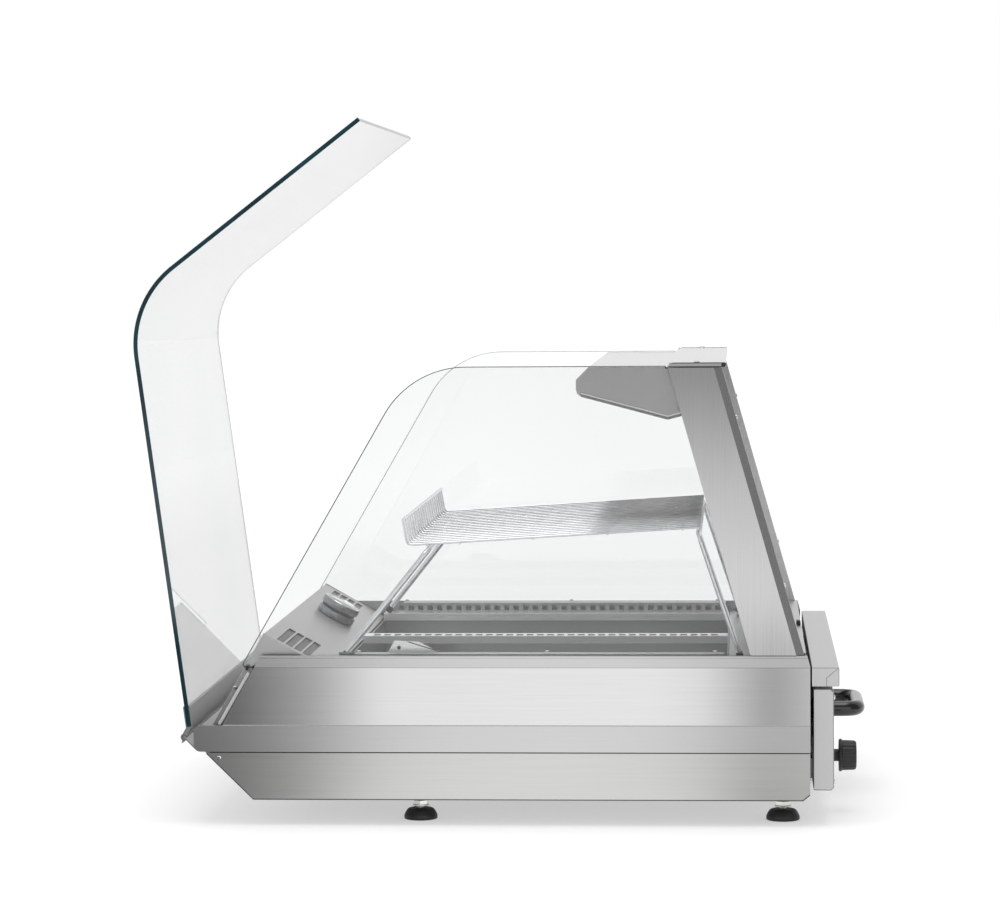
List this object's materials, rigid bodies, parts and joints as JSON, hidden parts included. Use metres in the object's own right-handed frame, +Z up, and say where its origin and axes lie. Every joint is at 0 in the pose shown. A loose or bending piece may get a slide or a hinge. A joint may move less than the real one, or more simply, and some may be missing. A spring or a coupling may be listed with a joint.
{
  "type": "hot food display case",
  "caption": "Countertop heated food display with a tilting curved front glass, sliding rear doors, lamp canopy, wire shelf and a slide-out heating unit.",
  "frame": {"origin": "centre of the bounding box at the underside of the feet, with the front glass open", "axes": "+X to the right seen from the customer side, +Y towards the operator side, +Z up"},
  "size_m": [0.8, 1.0114, 0.9713],
  "materials": {
    "steel": "satin brushed stainless sheet",
    "bright": "bright rolled stainless",
    "chrome": "polished chrome",
    "dark": "matt inner stainless",
    "glass": "clear toughened glass with a green edge",
    "black": "black gloss moulded plastic",
    "rubber": "black rubber",
    "seal": "light grey seal strip",
    "zinc": "bright zinc plated steel",
    "aluminium": "satin anodised extrusion",
    "amber": "translucent amber lens",
    "quartz": "quartz lamp tube",
    "red": "red rocker"
  },
  "bodies": {
    "casing": {"base_tray": "steel", "side_panel_right": "steel", "side_panel_left": "steel", "panel_edge_trim_right": "seal", "panel_edge_trim_left": "seal", "hinge_fixed_profile": "aluminium", "side_glass_right": "glass", "side_glass_left": "glass", "rear_post_right": "steel", "rear_post_left": "steel", "top_cross_rail": "bright", "rear_sill": "steel", "door_track_bottom": "aluminium", "door_track_top": "aluminium", "lamp_canopy": "steel", "lamp_reflector": "bright", "heat_lamp_1": "quartz", "heat_lamp_2": "quartz", "front_vent_hood": "bright", "side_cheek_right": "steel", "side_cheek_left": "steel", "thermometer_case": "chrome", "thermometer_glass": "glass", "well_liner": "dark", "centre_rail": "bright", "side_rail_right": "steel", "side_rail_left": "steel", "air_deflector": "bright", "wire_shelf": "chrome", "shelf_leg_front": "chrome", "shelf_leg_rear": "chrome", "rear_ledge": "steel", "foot_front_pad_right": "rubber", "foot_front_pad_left": "rubber", "foot_front_stud_right": "zinc", "foot_front_stud_left": "zinc", "foot_rear_pad_right": "rubber", "foot_rear_pad_left": "rubber", "foot_rear_stud_right": "zinc", "foot_rear_stud_left": "zinc"},
    "front_glass_leaf": {"glass_holder": "aluminium", "front_glass": "glass"},
    "rear_door_right": {"rear_door_right_glass": "glass", "rear_door_right_pull": "aluminium"},
    "rear_door_left": {"rear_door_left_glass": "glass", "rear_door_left_pull": "aluminium"},
    "heating_unit": {"control_box": "steel", "heater_drawer_tray": "dark", "heating_element_right": "dark", "heating_element_left": "dark", "fan_motor": "black", "drawer_handle": "black", "switch_frame": "black", "pilot_lamp": "amber", "cable_gland": "black"},
    "fan": {"fan_impeller": "zinc"},
    "knob": {"thermostat_knob": "black"},
    "rocker": {"power_switch": "red"},
    "needle": {"thermometer_needle": "black"}
  },
  "joints": [
    {"name": "front_glass_hinge", "type": "hinge", "parent": "casing", "child": "front_glass_leaf", "pos_m": [0, -0.441, 0.121], "axis": [-1, 0, 0], "range_deg": [0, 37.5]},
    {"name": "rear_door_right_slide", "type": "slide", "parent": "casing", "child": "rear_door_right", "axis": [-1, 0, 0], "range_m": [0, 0.335]},
    {"name": "rear_door_left_slide", "type": "slide", "parent": "casing", "child": "rear_door_left", "axis": [1, 0, 0], "range_m": [0, 0.335]},
    {"name": "heating_unit_slide", "type": "slide", "parent": "casing", "child": "heating_unit", "axis": [0, 1, 0], "range_m": [0, 0.3]},
    {"name": "thermostat_knob_turn", "type": "hinge", "parent": "heating_unit", "child": "knob", "pos_m": [0.25, 0.452, 0.0788], "axis": [0, -1, 0], "range_deg": [0, 270]},
    {"name": "power_switch_rock", "type": "hinge", "parent": "heating_unit", "child": "rocker", "pos_m": [-0.285, 0.447, 0.079], "axis": [1, 0, 0], "range_deg": [0, 10]},
    {"name": "fan_spin", "type": "hinge", "parent": "heating_unit", "child": "fan", "pos_m": [0, 0.23, 0.09], "axis": [0, 0, 1], "continuous": true},
    {"name": "thermometer_needle_turn", "type": "hinge", "parent": "casing", "child": "needle", "pos_m": [-0.098, -0.2857, 0.23865], "axis": [0, 0.4802, 0.8771], "range_deg": [-270, 0]}
  ]
}
